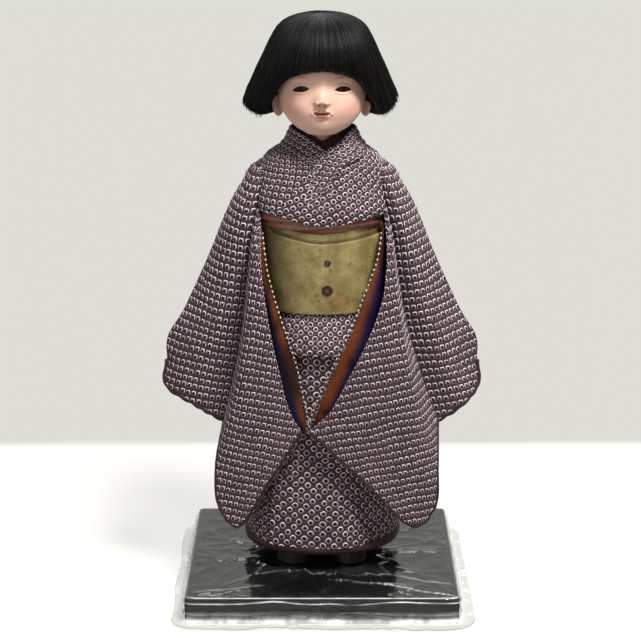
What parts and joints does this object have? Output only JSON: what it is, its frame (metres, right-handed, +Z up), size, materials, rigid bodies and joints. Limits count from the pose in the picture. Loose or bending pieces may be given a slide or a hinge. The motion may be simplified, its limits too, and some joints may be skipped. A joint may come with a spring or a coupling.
{
  "type": "ichimatsu doll",
  "caption": "Standing dressed doll with a bobbed wig, a long-sleeved tie-dyed robe and a wide sash, pegged onto a black board in clear film.",
  "frame": {"origin": "centre of the board's underside, on the surface that the doll stands on", "axes": "+Z up, the doll faces -Y, its own left side is at +X"},
  "size_m": [0.2424, 0.183, 0.4341],
  "materials": {
    "black_lacquer": "black gloss lacquer",
    "clear_film": "thin clear film, creased",
    "body_stuffing": "undyed cotton over stuffing",
    "bare_wood": "bare paulownia wood",
    "steel_wire": "drawn wire",
    "painted_limb": "shell-white paint on wood composition",
    "painted_skin": "polished shell-white paint, tinted",
    "sandal_lacquer": "black lacquer",
    "strap_cloth": "dark red padded strap",
    "dark_silk": "dark brown silk",
    "robe_silk": "grey-purple tie-dyed silk with pale rings",
    "lining_silk": "orange-brown silk shaded to navy",
    "sash_stiffener": "stiff interlining",
    "sash_brocade": "olive gold brocade",
    "scarf_satin": "copper satin",
    "eye_glass": "dark glass",
    "black_hair": "black silk floss wig"
  },
  "bodies": {
    "stand": {"stand_board": "black_lacquer", "clear_wrap": "clear_film"},
    "figure": {"torso_core": "body_stuffing", "neck_socket": "bare_wood", "shoulder_wire": "steel_wire", "left_leg": "painted_limb", "right_leg": "painted_limb", "left_sandal": "sandal_lacquer", "right_sandal": "sandal_lacquer", "left_sandal_strap": "strap_cloth", "right_sandal_strap": "strap_cloth", "left_foot_peg": "steel_wire", "right_foot_peg": "steel_wire", "skirt_padding": "body_stuffing", "under_robe": "dark_silk", "under_collar": "dark_silk", "robe_back": "robe_silk", "robe_right_front": "robe_silk", "robe_left_front": "robe_silk", "collar_left": "robe_silk", "collar_right": "robe_silk", "waist_tuck": "robe_silk", "hem_roll": "dark_silk", "obi_board": "sash_stiffener", "obi_inner_turn": "sash_brocade", "obi_outer_turn": "sash_brocade", "obi_scarf": "scarf_satin", "bow_left_loop": "sash_brocade", "bow_right_loop": "sash_brocade", "bow_knot": "sash_brocade", "bow_tail": "sash_brocade"},
    "head": {"head": "painted_skin", "neck_dowel": "bare_wood", "left_eye": "eye_glass", "right_eye": "eye_glass", "hair_bob": "black_hair", "hair_fringe": "black_hair"},
    "left_arm": {"left_upper_arm": "body_stuffing", "left_forearm": "painted_skin", "left_sleeve": "robe_silk", "left_sleeve_lining": "lining_silk", "left_cuff_edge": "dark_silk"},
    "right_arm": {"right_upper_arm": "body_stuffing", "right_forearm": "painted_skin", "right_sleeve": "robe_silk", "right_sleeve_lining": "lining_silk", "right_cuff_edge": "dark_silk"}
  },
  "joints": [
    {"name": "doll_lift", "type": "slide", "parent": "stand", "child": "figure", "axis": [0, 0, 1], "range_m": [0, 0.06]},
    {"name": "head_turn", "type": "hinge", "parent": "figure", "child": "head", "pos_m": [0, 0.008, 0.33], "axis": [0, 0, 1], "range_deg": [-25, 25]},
    {"name": "left_arm_swing", "type": "hinge", "parent": "figure", "child": "left_arm", "pos_m": [0.0441, 0.008, 0.3106], "axis": [-1, 0, 0], "range_deg": [0, 35]},
    {"name": "right_arm_swing", "type": "hinge", "parent": "figure", "child": "right_arm", "pos_m": [-0.0441, 0.008, 0.3106], "axis": [-1, 0, 0], "range_deg": [0, 35]}
  ]
}
